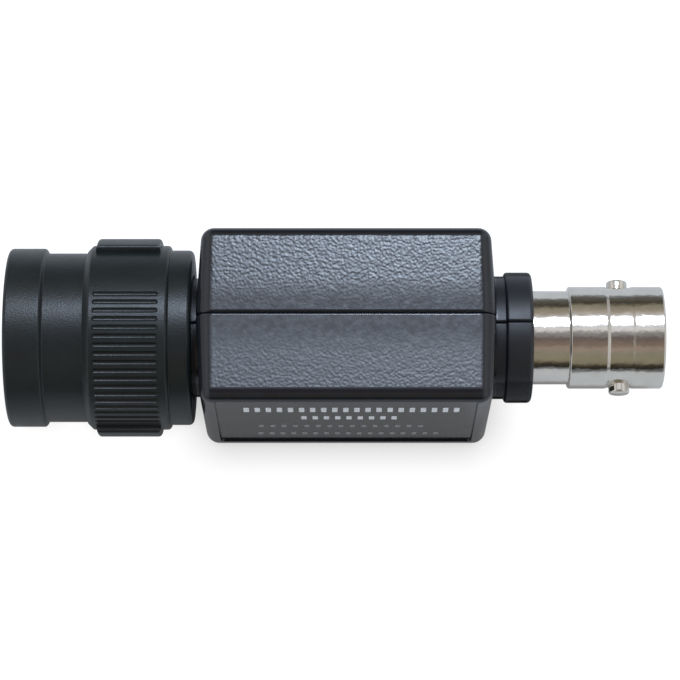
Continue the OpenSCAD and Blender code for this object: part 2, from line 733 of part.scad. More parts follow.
module plug_earth_links() color(TIN) earth_links(plug_plate_x1, can_x0);

module socket_earth_links() color(TIN) earth_links(can_x1, socket_plate_x0);

label_shell();
back_shell();
locking_sleeve();
bayonet_ring();
thrust_washer();
wave_spring();
plug_body();
plug_gasket();
outer_contact();
plug_insulator();
centre_pin();
plug_plate();
socket_shell();
bayonet_pins();
socket_insulator();
socket_contact();
circuit_board();
series_resistor();
series_capacitor();
shunt_resistor();
shunt_capacitor();
screen_can();
plug_earth_links();
socket_earth_links();
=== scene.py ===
# In-line oscilloscope attenuator: black moulded locking sleeve, two-shell box and bright nickel
# bayonet socket, lying on its side on a white studio floor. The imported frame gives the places.
# Pieces are shaped in millimetres and brought to metres when they are finished.

import itertools
import math
from types import SimpleNamespace

import bmesh
import bpy
from bpy.props import FloatProperty, FloatVectorProperty, IntProperty, PointerProperty
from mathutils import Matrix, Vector


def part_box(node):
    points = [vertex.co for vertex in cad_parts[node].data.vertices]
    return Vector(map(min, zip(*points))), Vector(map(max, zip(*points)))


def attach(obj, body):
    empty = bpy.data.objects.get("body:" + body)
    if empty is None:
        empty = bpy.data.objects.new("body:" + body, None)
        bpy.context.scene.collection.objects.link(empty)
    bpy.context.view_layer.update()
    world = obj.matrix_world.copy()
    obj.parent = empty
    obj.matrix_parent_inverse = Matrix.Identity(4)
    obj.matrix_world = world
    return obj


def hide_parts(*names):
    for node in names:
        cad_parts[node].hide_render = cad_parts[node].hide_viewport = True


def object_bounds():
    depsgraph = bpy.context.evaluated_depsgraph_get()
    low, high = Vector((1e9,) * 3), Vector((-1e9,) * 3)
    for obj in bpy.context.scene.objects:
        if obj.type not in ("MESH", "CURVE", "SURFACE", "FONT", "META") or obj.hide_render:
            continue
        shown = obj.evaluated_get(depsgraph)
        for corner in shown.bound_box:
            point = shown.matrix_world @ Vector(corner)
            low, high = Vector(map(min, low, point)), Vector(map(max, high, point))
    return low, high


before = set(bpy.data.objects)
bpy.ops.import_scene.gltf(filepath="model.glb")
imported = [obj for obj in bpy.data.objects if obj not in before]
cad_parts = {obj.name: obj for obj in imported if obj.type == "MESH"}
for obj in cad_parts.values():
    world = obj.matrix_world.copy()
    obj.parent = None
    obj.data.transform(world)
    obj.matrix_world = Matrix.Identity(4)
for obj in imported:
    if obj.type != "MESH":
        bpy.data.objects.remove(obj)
cad_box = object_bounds()

bl_info = {
    "name": "In-line attenuator",
    "version": (1, 0, 0),
    "blender": (4, 5, 0),
    "location": "3D View > Sidebar > Attenuator",
    "description": "Models an in-line oscilloscope attenuator piece by piece over its CAD frame",
    "category": "Add Mesh",
}

MM = 0.001

# Points closer than this are one point, and edges shorter than this are slivers, in millimetres
SAME_POINT = 0.0005
SLIVER = 0.0004

# Edges flatter than this many degrees are shaded smooth
SMOOTH_BELOW = 32


def node_box(name):
    """Lowest and highest corner of a CAD node, in millimetres."""
    low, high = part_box(name)
    return low / MM, high / MM


SLEEVE_LOW, SLEEVE_HIGH = node_box("locking_sleeve")
SOCKET_LOW, SOCKET_HIGH = node_box("socket_shell")
PINS_LOW, PINS_HIGH = node_box("bayonet_pins")
PINS_PLACE = (PINS_LOW.x + PINS_HIGH.x) / 2
PLATE_END = node_box("plug_plate")[1].x
BOARD_LOW, BOARD_HIGH = node_box("circuit_board")


# Sizes and colours that a user would change

def length(name, millimetres, description):
    """A length typed in millimetres here and kept in metres by Blender."""
    return FloatProperty(name=name, description=description, default=millimetres * MM, min=0,
                         precision=5, unit="LENGTH", subtype="DISTANCE")


def linear(code):
    """Linear colour of an sRGB hex value."""
    parts = [int(code[i:i + 2], 16) / 255 for i in (1, 3, 5)]
    return tuple(c / 12.92 if c <= 0.04045 else ((c + 0.055) / 1.055) ** 2.4 for c in parts)


def colour(name, code, description):
    """A colour typed as an sRGB hex value."""
    return FloatVectorProperty(name=name, description=description, default=linear(code), size=3,
                               min=0, max=1, subtype="COLOR")


class SleeveSizes(bpy.types.PropertyGroup):
    """Sizes of the locking sleeve."""
    rim_radius: length("Rim radius", 8.4, "Outer radius of the front rim")
    rim_length: length("Rim length", 3.6, "Length of the front rim")
    tube_radius: length("Tube radius", 7.95, "Outer radius of the tube behind the rim")
    collar_start: length("Collar start", 7.37, "Distance from the front to the grip collar")
    collar_length: length("Collar length", 7.79, "Length of the grip collar")
    collar_radius: length("Collar radius", 8.67, "Outer radius of the grip collar")
    tail_radius: length("Tail radius", 8.23, "Outer radius behind the collar")
    mouth_radius: length("Mouth radius", 6.9, "Inner radius of the open mouth")
    mouth_depth: length("Mouth depth", 1.75, "Depth of the mouth in front of the metal ring")
    ring_radius: length("Ring seat", 6.32, "Inner radius where the metal ring sits")
    shelf: length("Shelf", 1.95, "Length of the shelf behind the metal ring")
    rear_radius: length("Rear opening", 5.95, "Inner radius of the rear opening")
    pad_radius: length("Pad radius", 9.32, "Outer radius of the finger pads")
    pad_length: length("Pad length", 6.1, "Length of each finger pad")
    pad_span: FloatProperty(name="Pad span", description="Width of each pad round the sleeve",
                            default=math.radians(41.8), subtype="ANGLE")
    pad_turn: FloatProperty(name="Pad turn", description="First pad, from upright towards the back",
                            default=math.radians(73), subtype="ANGLE")
    land_span: FloatProperty(name="Land span", description="Smooth land between a pad and the ridges",
                             default=math.radians(36.2), subtype="ANGLE")
    grooves: IntProperty(name="Grooves", description="Grooves on each side", default=19, min=4)
    groove_radius: length("Groove radius", 0.27, "Radius of the round-ended groove")
    groove_depth: length("Groove depth", 0.2, "Depth of each groove at its middle")
    groove_length: length("Groove length", 6.1, "Length of each groove")
    crest: length("Crest round", 0.08, "Rounding of the ridges' edges")


class HousingSizes(bpy.types.PropertyGroup):
    """Sizes of the two housing shells."""
    box_start: length("Box start", 12.93, "Distance of the box's left end before the origin")
    box_end: length("Box end", 14.77, "Distance of the box's right end behind the origin")
    half_depth: length("Half depth", 8.3, "From the axis to the label face")
    half_height: length("Half height", 9.45, "From the axis to a side face")
    edge: length("Edge round", 1.25, "Rounding of the long edges and corners")
    draft: FloatProperty(name="Draft", description="Draft of the end faces",
                         default=math.radians(3), subtype="ANGLE")
    wall: length("Wall", 1.35, "Wall thickness")
    seam: length("Seam", 0.26, "Rounding along the parting line")
    label_margin: length("Label margin", 1.95, "Margin of the sunk label field at the box's ends")
    label_depth: length("Label depth", 0.2, "Depth of the sunk label field")
    label_top: length("Label top", 8.5, "Height of the field's upper edge above the axis")
    label_foot: length("Label foot", 7.7, "Distance of the field's lower edge below the axis")
    label_slope: length("Label slope", 0.12, "Width of the sloped walls at the field's ends")
    neck_radius: length("Neck radius", 5.6, "Radius of the neck inside the sleeve")
    socket_neck: length("Socket neck", 5.79, "Radius of the neck at the socket end")
    neck_start: length("Neck start", 15.27, "Distance of the left neck's end before the origin")
    collar_radius: length("Collar radius", 6.15, "Radius of the collar at the socket end")
    collar_start: length("Collar start", 15.75, "Left end of the collar at the socket end")
    collar_end: length("Collar end", 18.3, "Right end of the collar at the socket end")
    front_bore: length("Plug bore", 4.02, "Bore for the plug's shank")
    rear_bore: length("Socket bore", 4.42, "Bore for the socket's rear barrel")
    board_top: length("Board", 0.52, "Depth of the board's upper face below the axis")


class SocketSizes(bpy.types.PropertyGroup):
    """Sizes of the nickel-plated socket."""
    rear_radius: length("Rear radius", 4.4, "Radius of the rear barrel")
    barrel_radius: length("Barrel radius", 4.8, "Radius of the bayonet barrel")
    barrel_start: length("Barrel start", 21.75, "Left end of the bayonet barrel")
    bore: length("Bore", 4.07, "Bore radius of the barrel")
    bore_floor: length("Bore floor", 22.25, "Place of the bore's floor")
    rear_bore: length("Rear bore", 3.3, "Bore radius behind the floor")
    pin_radius: length("Pin radius", 0.975, "Radius of the two pins")
    band_dip: length("Band dip", 0.08, "Depth of the shallow turned band round the pins")
    band_margin: length("Band margin", 0.05, "From the pins to the band's flat")
    band_edge: length("Band edge", 0.3, "Width of the slopes at the band's edges")
    plate_width: length("Flange width", 11, "Width of the square flange inside the housing")
    plate_thickness: length("Flange thickness", 1.3, "Thickness of the square flange")


class FinishColours(bpy.types.PropertyGroup):
    """Colours of the finishes, as they are without light or gloss."""
    housing: colour("Housing plastic", "#14171e", "Moulded housing")
    sleeve: colour("Sleeve plastic", "#1b2021", "Moulded sleeve")
    print: colour("Print", "#d6d9dc", "Pad-printed marks")
    nickel: colour("Nickel", "#d8d4cc", "Bright nickel plate")
    gold: colour("Gold flash", "#e2c078", "Contacts")
    rubber: colour("Silicone", "#8c3a30", "Front gasket")
    insulator: colour("Insulator", "#e9e8e3", "Turned insulators")
    steel: colour("Spring steel", "#a9aaac", "Washer and wave spring")
    tin: colour("Tinplate", "#bcbdbd", "Can and links")
    board: colour("Board", "#2c5a3c", "Laminate board")
    resistor: colour("Resistor", "#4a6fa8", "Resistor lacquer")
    ceramic: colour("Ceramic", "#c07a30", "Capacitor coating")
    floor: colour("Floor", "#c6c6c6", "Studio floor")


class StudioSizes(bpy.types.PropertyGroup):
    """Camera and light."""
    focal: FloatProperty(name="Focal length", description="On a 36 mm sensor", default=157.7)
    distance: length("Camera distance", 281, "From the aim point to the camera")
    elevation: FloatProperty(name="Elevation", description="Camera above the horizon",
                             default=math.radians(75.5), subtype="ANGLE")
    aim_along: length("Aim along", 0.35, "Aim point along the axis")
    aim_below: length("Aim below", 0.21, "Aim point below the axis in the picture")
    light: FloatProperty(name="Softbox", description="Radiance of the softbox", default=8.5)
    glint: FloatProperty(name="Softbox middle", description="Further radiance of its middle",
                         default=45)
    tent: FloatProperty(name="Tent", description="Strength of the light tent", default=1.0)


def sizes(group):
    """A group's lengths in millimetres, and its other values as they are."""
    values = {}
    for key, kind in group.bl_rna.properties.items():
        if key not in ("rna_type", "name"):
            value = getattr(group, key)
            values[key] = value / MM if kind.unit == "LENGTH" else value
    return SimpleNamespace(**values)


# Modelling helpers

def only(obj):
    """Selects one object alone, in object mode."""
    if bpy.context.object and bpy.context.object.mode != "OBJECT":
        bpy.ops.object.mode_set(mode="OBJECT")
    bpy.ops.object.select_all(action="DESELECT")
    obj.select_set(True)
    bpy.context.view_layer.objects.active = obj


def edit(obj):
    """Enters edit mode on one object with nothing selected."""
    only(obj)
    bpy.ops.object.mode_set(mode="EDIT")
    bpy.ops.mesh.select_all(action="DESELECT")


def leave():
    """Back to object mode."""
    bpy.ops.object.mode_set(mode="OBJECT")


def everything():
    """In edit mode, selects all."""
    bpy.ops.mesh.select_all(action="SELECT")


def pick(kind, test):
    """In edit mode, selects the vertices, edges or faces that pass a test, and nothing else."""
    obj = bpy.context.edit_object
    bpy.ops.mesh.select_mode(type=kind)
    bpy.ops.mesh.select_all(action="DESELECT")
    mesh = bmesh.from_edit_mesh(obj.data)
    parts = {"VERT": mesh.verts, "EDGE": mesh.edges, "FACE": mesh.faces}[kind]
    found = [part for part in parts if test(part)]
    for part in found:
        part.select_set(True)
    mesh.select_flush_mode()
    bmesh.update_edit_mesh(obj.data)
    return len(found)


def apply_place(obj):
    """Puts an object's place, turn and scale into its mesh."""
    only(obj)
    bpy.ops.object.transform_apply(location=True, rotation=True, scale=True)


def rounded(points, segments=5):
    """An outline of (along, radius) points whose third number, where given, rounds the corner."""
    out = []
    count = len(points)
    for i, point in enumerate(points):
        here = Vector(point[:2])
        radius = point[2] if len(point) > 2 else 0
        if not radius:
            out.append(here)
            continue
        before = (Vector(points[i - 1][:2]) - here).normalized()
        after = (Vector(points[(i + 1) % count][:2]) - here).normalized()
        half = before.angle(after) / 2
        reach = radius / math.tan(half)
        centre = here + (before + after).normalized() * radius / math.sin(half)
        start = (here + before * reach - centre).normalized()
        end = (here + after * reach - centre).normalized()
        for k in range(segments + 1):
            out.append(centre + start.slerp(end, k / segments) * radius)
    return out


def rod(x0, x1, radius):
    """Outline of a plain rod on the axis."""
    return [(x0, 0), (x0, radius), (x1, radius), (x1, 0)]


def turned(name, outline, steps=96, sweep=360.0, start=0.0):
    """A piece turned about the X axis from an outline of (along, radius) points.
    The sweep starts at upright and runs towards the back (+Y)."""
    a = math.radians(start)
    points = [Vector((x, r * math.sin(a), r * math.cos(a))) for x, r in outline]
    on_axis = outline[0][1] < SAME_POINT and outline[-1][1] < SAME_POINT
    if not on_axis:
        points.append(points[0])
    bpy.ops.object.select_all(action="DESELECT")
    bpy.ops.mesh.primitive_plane_add(size=1, location=(0, 0, 0))
    obj = bpy.context.object
    obj.name = obj.data.name = name
    bpy.ops.object.mode_set(mode="EDIT")
    bpy.ops.mesh.select_mode(type="VERT")
    everything()
    bpy.ops.mesh.merge(type="CENTER")
    bpy.ops.transform.translate(value=points[0])
    for here, there in zip(points, points[1:]):
        bpy.ops.mesh.extrude_region_move(TRANSFORM_OT_translate={"value": there - here})
    everything()
    bpy.ops.mesh.spin(steps=steps, angle=math.radians(sweep), center=(0, 0, 0), axis=(1, 0, 0))
    everything()
    bpy.ops.mesh.remove_doubles(threshold=SAME_POINT)
    if sweep < 360:
        bpy.ops.mesh.fill_holes(sides=0)
        everything()
    bpy.ops.mesh.normals_make_consistent(inside=False)
    leave()
    return obj


def block(name, low, high):
    """A plain block between two corners, to be shaped further or used as a tool."""
    low, high = Vector(low), Vector(high)
    bpy.ops.object.select_all(action="DESELECT")
    bpy.ops.mesh.primitive_cube_add(size=1, location=(low + high) / 2)
    obj = bpy.context.object
    obj.name = obj.data.name = name
    obj.scale = high - low
    apply_place(obj)
    return obj


def place(obj, turn=(0, 0, 0), move=(0, 0, 0)):
    """Turns an object about the origin, in degrees, then moves it, and applies both."""
    obj.rotation_euler = [math.radians(t) for t in turn]
    obj.location = move
    apply_place(obj)
    return obj


def copy(obj):
    """A copy with its own mesh."""
    only(obj)
    bpy.ops.object.duplicate()
    return bpy.context.object


def join(*objs):
    """Joins objects into the first."""
    only(objs[0])
    for obj in objs:
        obj.select_set(True)
    bpy.ops.object.join()
    return objs[0]


def cut(obj, *tools, operation="DIFFERENCE"):
    """Cuts tools out of an object, or adds them to it, and deletes them."""
    for tool in tools:
        only(obj)
        modifier = obj.modifiers.new("Cut", "BOOLEAN")
        modifier.operation = operation
        modifier.object = tool
        modifier.solver = "EXACT"
        bpy.ops.object.modifier_apply(modifier=modifier.name)
        bpy.data.objects.remove(tool)
    return obj


def runs_across(edge):
    """Tells an edge of a plain block that runs along Y."""
    return abs(edge.verts[0].co.y - edge.verts[1].co.y) > SAME_POINT


def soften(obj, test, width, segments=2, clamp=True):
    """Bevels the edges of an object that pass a test."""
    edit(obj)
    if pick("EDGE", test):
        bpy.ops.mesh.bevel(offset=width, offset_type="OFFSET", segments=segments, profile=0.5,
                           affect="EDGES", clamp_overlap=clamp)
    leave()


def weld(merge, flat):
    """In edit mode, merges close points and dissolves flat faces, below a distance each."""
    everything()
    bpy.ops.mesh.remove_doubles(threshold=merge)
    bpy.ops.mesh.dissolve_degenerate(threshold=flat)


def hand_over(obj, finishes, nodes=(), body="housing"):
    """Clears a finished piece of slivers, brings it to metres, smooths it, gives it its finishes and
    ties it to the frame."""
    edit(obj)
    weld(SLIVER, SLIVER)
    leave()
    obj.scale = (MM, MM, MM)
    apply_place(obj)
    bpy.ops.object.shade_smooth_by_angle(angle=math.radians(SMOOTH_BELOW))
    modifier = obj.modifiers.new("Weighted normals", "WEIGHTED_NORMAL")
    modifier.keep_sharp = True
    bpy.ops.object.modifier_apply(modifier=modifier.name)
    for i, made in enumerate(finishes):
        if i < len(obj.data.materials):
            obj.data.materials[i] = made
        else:
            obj.data.materials.append(made)
    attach(obj, body)
    if nodes:
        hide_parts(*nodes)


def mark_faces(obj, index, test):
    """Gives the faces that pass a test another material slot."""
    while len(obj.data.materials) <= index:
        obj.data.materials.append(None)
    edit(obj)
    pick("FACE", test)
    obj.active_material_index = index
    bpy.ops.object.material_slot_assign()
    leave()


# Finishes

# A colour mix has its two colours in these sockets, and their mix in this output
FIRST, SECOND, MIXED = 6, 7, 2


def add(tree, kind, inputs=None, stops=(), **settings):
    """Adds one shader node with its settings, and sets or links its inputs. A node as an input stands
    for its first output. A ramp's stops are (place, hex colour or grey level)."""
    node = tree.nodes.new("ShaderNode" + kind)
    for key, value in settings.items():
        setattr(node, key, value)
    for key, value in (inputs or {}).items():
        if isinstance(value, bpy.types.Node):
            value = value.outputs[0]
        if isinstance(value, bpy.types.NodeSocket):
            tree.links.new(value, node.inputs[key])
        else:
            node.inputs[key].default_value = value
    for at, tone in stops:
        points = node.color_ramp.elements
        point = points[0] if at == 0 else points[-1] if at == 1 else points.new(at)
        point.color = rgba(linear(tone) if isinstance(tone, str) else (tone,) * 3)
    return node


def rgba(value):
    """A colour property as a socket value."""
    return (*value, 1.0)


def blank(name):
    """A new material and its empty tree."""
    material = bpy.data.materials.new(name)
    material.use_nodes = True
    material.node_tree.nodes.clear()
    return material, material.node_tree


def start(name):
    """A new material, its tree and its object coordinates in millimetres."""
    material, tree = blank(name)
    coordinates = add(tree, "TexCoord").outputs["Object"]
    return material, tree, add(tree, "Mapping", {"Vector": coordinates, "Scale": (1 / MM,) * 3})


def speckle(tree, where, size, low=0.0, high=1.0, detail=2.0):
    """Cloudy variation of a given size in millimetres, between two values."""
    noise = add(tree, "TexNoise", {"Vector": where, "Scale": 1 / size, "Detail": detail})
    return add(tree, "MapRange", {"Value": noise, "From Min": 0.3, "From Max": 0.7, "To Min": low,
                                  "To Max": high})


def mottled(tree, where, tint, size, low, high):
    """A tint that is cloudily darker and lighter."""
    amount = speckle(tree, where, size, low, high)
    return add(tree, "VectorMath", {0: tint, 1: amount}, operation="MULTIPLY")


def surface(tree, inputs):
    """The surface shader and the material's output."""
    add(tree, "OutputMaterial", {"Surface": add(tree, "BsdfPrincipled", inputs)})


def moulded_abs(tint):
    """ABS from a polished mould face: nearly black, glossy on the box, a little duller and finely
    grained on the round necks and the collar beyond its ends. The grain is drawn as coarse as it
    needs to show."""
    material, tree, where = start("ABS, polished mould face")
    box_middle, box_end, neck_start = 0.92, 13.8, 14.1
    along = add(tree, "SeparateXYZ", {0: where}).outputs["X"]
    off_centre = add(tree, "Math", {0: along, 1: box_middle}, operation="SUBTRACT")
    outward = add(tree, "Math", {0: off_centre}, operation="ABSOLUTE")
    neck = add(tree, "MapRange", {"Value": outward, "From Min": box_end, "From Max": neck_start})
    flow = speckle(tree, where, 2.5, 0.15, 0.20)
    gloss = add(tree, "Math", {0: neck, 1: 0.27, 2: flow}, operation="MULTIPLY_ADD")
    depth = add(tree, "Math", {0: neck, 1: 0.6, 2: 0.3}, operation="MULTIPLY_ADD")
    grain = add(tree, "Bump", {"Height": speckle(tree, where, 0.12), "Strength": depth,
                               "Distance": 0.005 * MM})
    surface(tree, {"Base Color": mottled(tree, where, tint, 1.8, 0.9, 1.1), "Roughness": gloss,
                   "IOR": 1.54, "Normal": grain})
    return material


def spark_eroded_abs(tint):
    """ABS from a spark-eroded mould face: soft lumps of a few tenths of a millimetre. On the back
    shell they are deep and glint towards the light, and below the parting line they are fainter.
    The face is dullest on both sides of that line."""
    material, tree, where = start("ABS, spark-eroded mould face")
    lump, half_depth = 0.26, 8.3
    lumps = add(tree, "TexNoise", {"Vector": where, "Scale": 1 / lump, "Detail": 0.0})
    side = add(tree, "SeparateXYZ", {0: where}).outputs["Y"]
    across = add(tree, "MapRange", {"Value": side, "From Min": -half_depth, "From Max": half_depth})
    depth = add(tree, "ValToRGB", {"Fac": across}, (
        (0.0, 0.6), (0.29, 0.5), (0.38, 0.35), (0.5, 0.2), (0.54, 0.8), (0.6, 1.0), (1.0, 0.95)))
    dull = add(tree, "ValToRGB", {"Fac": across}, (
        (0.0, 0.28), (0.25, 0.35), (0.42, 0.5), (0.57, 0.48), (0.7, 0.31), (1.0, 0.28)))
    gloss = add(tree, "Math", {0: dull, 1: speckle(tree, where, 0.6, 0.9, 1.1)}, operation="MULTIPLY")
    skin = add(tree, "Bump", {"Height": lumps, "Strength": depth, "Distance": 0.03 * MM})
    surface(tree, {"Base Color": rgba(tint), "Roughness": gloss, "IOR": 1.54, "Normal": skin})
    return material


def satin_sleeve(tint):
    """Glass-filled nylon from a fine satin mould: a soft broad highlight with very fine grain, which
    is drawn as coarse as it needs to show."""
    material, tree, where = start("Nylon, satin moulded")
    grain = add(tree, "Bump", {"Height": speckle(tree, where, 0.16, detail=3.0), "Strength": 0.6,
                               "Distance": 0.012 * MM})
    surface(tree, {"Base Color": mottled(tree, where, tint, 2.2, 0.88, 1.12),
                   "Roughness": speckle(tree, where, 1.6, 0.32, 0.37), "IOR": 1.53,
                   "Specular IOR Level": 0.33, "Normal": grain})
    return material


def pad_print(tint):
    """Pad-printing ink: matt, slightly patchy, and thin in the rows below the middle."""
    material, tree, where = start("Pad-printing ink")
    thin_below, full_above = -0.9, 0.3
    patches = speckle(tree, where, 0.5, 0.75, 1.0, 3.0)
    upright = add(tree, "SeparateXYZ", {0: where}).outputs["Z"]
    ink = add(tree, "MapRange", {"Value": upright, "From Min": thin_below, "From Max": full_above,
                                 "To Min": 0.35, "To Max": 1.0})
    amount = add(tree, "Math", {0: patches, 1: ink}, operation="MULTIPLY")
    tone = add(tree, "VectorMath", {0: tint, 1: amount}, operation="MULTIPLY")
    surface(tree, {"Base Color": tone, "Roughness": 0.6})
    return material


def turned_metal(name, tint, roughness, lines, wear):
    """Turned metal: fine tool lines round the X axis, a slight ripple that makes the edges of the
    reflections waver, and patches of slightly duller finish."""
    material, tree, where = start(name)
    stretch = 20
    squash = add(tree, "Mapping", {"Vector": where, "Scale": (1 / lines, 1 / stretch, 1 / stretch)})
    tool = add(tree, "TexNoise", {"Vector": squash, "Scale": 1.0, "Detail": 2.0})
    ripple = add(tree, "Bump", {"Height": speckle(tree, where, 0.8), "Strength": 0.5,
                                "Distance": 0.02 * MM})
    skin = add(tree, "Bump", {"Height": tool, "Strength": 0.4, "Distance": 0.004 * MM,
                              "Normal": ripple})
    surface(tree, {"Base Color": mottled(tree, where, tint, 1.5, 0.93, 1.03), "Metallic": 1.0,
                   "Roughness": speckle(tree, where, 1.2, roughness, roughness + wear),
                   "Normal": skin})
    return material


def plain_finish(name, tint, roughness, size, height, metallic=0.0):
    """A material with fine grain of one size, for what is mostly hidden."""
    material, tree, where = start(name)
    grain = add(tree, "Bump", {"Height": speckle(tree, where, size), "Strength": 0.5,
                               "Distance": height * MM})
    surface(tree, {"Base Color": mottled(tree, where, tint, size * 6, 0.92, 1.06),
                   "Roughness": roughness, "Metallic": metallic, "Normal": grain})
    return material


FINISH_NAMES = {}


def finish(name):
    """A finish by its short name, made on first use."""
    tints = bpy.context.scene.attenuator_colours
    makers = {
        "housing": (moulded_abs, tints.housing),
        "eroded": (spark_eroded_abs, tints.housing),
        "sleeve": (satin_sleeve, tints.sleeve),
        "print": (pad_print, tints.print),
        "nickel": (turned_metal, "Nickel plate on turned brass", tints.nickel, 0.09, 0.05, 0.05),
        "gold": (turned_metal, "Gold flash on turned brass", tints.gold, 0.14, 0.05, 0.06),
        "steel": (turned_metal, "Spring steel, rolled", tints.steel, 0.28, 0.08, 0.1),
        "tin": (plain_finish, "Tinplate, folded", tints.tin, 0.32, 0.3, 0.003, 1.0),
        "rubber": (plain_finish, "Silicone rubber, moulded", tints.rubber, 0.55, 0.1, 0.006),
        "insulator": (plain_finish, "Fluoropolymer, turned", tints.insulator, 0.42, 0.15, 0.003),
        "board": (plain_finish, "Glass-fibre laminate", tints.board, 0.38, 0.35, 0.01),
        "resistor": (plain_finish, "Resistor lacquer, dipped", tints.resistor, 0.3, 0.4, 0.01),
        "ceramic": (plain_finish, "Epoxy coating, dipped", tints.ceramic, 0.35, 0.5, 0.015),
    }
    made = bpy.data.materials.get(FINISH_NAMES.get(name, ""))
    if made is None:
        maker, *values = makers[name]
        made = maker(*values)
        FINISH_NAMES[name] = made.name
    return made


# Pieces

def sleeve_outline(s):
    """Outline of the locking sleeve as (along, radius), from the mouth round the outside."""
    x0 = SLEEVE_LOW.x
    x1 = SLEEVE_HIGH.x
    rim = x0 + s.rim_length
    collar0 = x0 + s.collar_start
    collar1 = collar0 + s.collar_length
    step = s.collar_radius - s.tail_radius
    return rounded([
        (x0 + s.mouth_depth, s.mouth_radius), (x0, s.mouth_radius, 0.3),
        (x0, s.rim_radius, 0.35), (rim - 0.25, s.rim_radius, 0.25), (rim, s.tube_radius, 0.2),
        (collar0, s.tube_radius, 0.1), (collar0, s.collar_radius - 0.5, 0.08),
        (collar0 + 0.5, s.collar_radius, 0.25),
        (collar1, s.collar_radius, step - 0.1), (collar1, s.tail_radius, 0.08),
        (x1, s.tail_radius, 0.45), (x1, s.rear_radius, 0.15),
        (x1 - s.shelf, s.rear_radius), (x1 - s.shelf, s.ring_radius),
        (x0 + s.mouth_depth, s.ring_radius)])


def make_sleeve(s):
    """The sleeve from one ridge pitch, copied round, with plain lands and two raised pads."""
    outline = [tuple(p) for p in sleeve_outline(s)]
    pad = math.degrees(s.pad_span)
    land = math.degrees(s.land_span)
    pad_start = math.degrees(s.pad_turn) - pad / 2
    pitch = (180 - pad - land) / s.grooves
    first = pad_start - land - pitch
    middle = first + pitch / 2
    sharp, skin, parallel = 0.35, 0.03, 0.02

    def centred(stretch):
        """Where a stretch of a given length starts when it lies midway on the collar."""
        return SLEEVE_LOW.x + s.collar_start + (s.collar_length - stretch) / 2

    x0 = centred(s.groove_length)
    x1 = x0 + s.groove_length

    def angle(point):
        """Degrees round the axis, from upright towards the back."""
        return math.degrees(math.atan2(point.y, point.z))

    def on_crest(edge):
        """Tells the sharp edges between the groove and the collar's skin."""
        return len(edge.link_faces) == 2 and edge.calc_face_angle(0) > sharp and all(
            x0 - 0.2 < v.co.x < x1 + 0.2 and abs(math.hypot(v.co.y, v.co.z) - s.collar_radius) < skin
            and abs(angle(v.co) - middle) < pitch * 0.47 for v in edge.verts)

    def on_cut(face):
        """Tells the two flat faces that close one ridge pitch."""
        return any(all(abs(angle(v.co) - side) < parallel for v in face.verts)
                   for side in (first, first + pitch))

    def open_ends(obj, test):
        """Takes away the faces that close a stretch of the sleeve."""
        edit(obj)
        pick("FACE", test)
        bpy.ops.mesh.delete(type="FACE")
        leave()

    end = s.groove_radius * 0.999
    wedge = turned("Locking_sleeve", outline, 2, pitch, first)
    tool = turned("Groove_cutter", rounded([(x0, 0), (x0, s.groove_radius, end),
                  (x1, s.groove_radius, end), (x1, 0)], 8), 24)
    place(tool, move=(0, 0, s.collar_radius + s.groove_radius - s.groove_depth))
    cut(wedge, place(tool, turn=(-middle, 0, 0)))
    soften(wedge, on_crest, s.crest)
    open_ends(wedge, on_cut)

    pieces = [wedge]
    for k in range(1, s.grooves):
        pieces.append(place(copy(wedge), turn=(k * pitch, 0, 0)))
    plain = turned("Plain_land", outline, 30, pad + land, first + pitch)
    open_ends(plain, lambda f: len(f.verts) == len(outline))
    half = join(*pieces, plain)
    sleeve = join(half, place(copy(half), turn=(180, 0, 0)))
    edit(sleeve)
    weld(0.002, 0.01)
    bpy.ops.mesh.normals_make_consistent(inside=False)
    leave()

    band0 = centred(s.pad_length)
    band1 = band0 + s.pad_length
    root, slope, pad_edge, pad_sharp = s.collar_radius - 0.4, 0.1, 0.34, 0.6
    for side in (0, 180):
        grip = turned("Finger_pad", [(band0, root), (band0 + slope, s.pad_radius),
                      (band1 - slope, s.pad_radius), (band1, root)], 24, pad, pad_start + side)
        soften(grip, lambda e: e.calc_face_angle(0) > pad_sharp and all(
            math.hypot(v.co.y, v.co.z) > s.pad_radius - 0.01 for v in e.verts), pad_edge, 5)
        cut(sleeve, grip, operation="UNION")
    return sleeve


def rim_block(s, grow, corner, y0, y1):
    """A block over the cavity's outline, grown by a distance, with its four upright edges cut."""
    x0 = -s.box_start + s.wall - grow
    x1 = s.box_end - s.wall + grow
    z = s.half_height - s.wall + grow
    obj = block("Rim_block", (x0, y0, -z), (x1, y1, z))
    soften(obj, runs_across, corner, 1)
    return obj


def rim_ring(s, slack, y0, y1):
    """The tongue, or the tool for its groove, inside the wall round the cavity."""
    tongue, outer_corner, inner_corner = 0.5, 0.8, 0.5
    inset = (s.wall - tongue) / 2
    return cut(rim_block(s, inset + tongue + slack, outer_corner, y0, y1),
               rim_block(s, inset - slack, inner_corner, y0 - 1, y1 + 1))


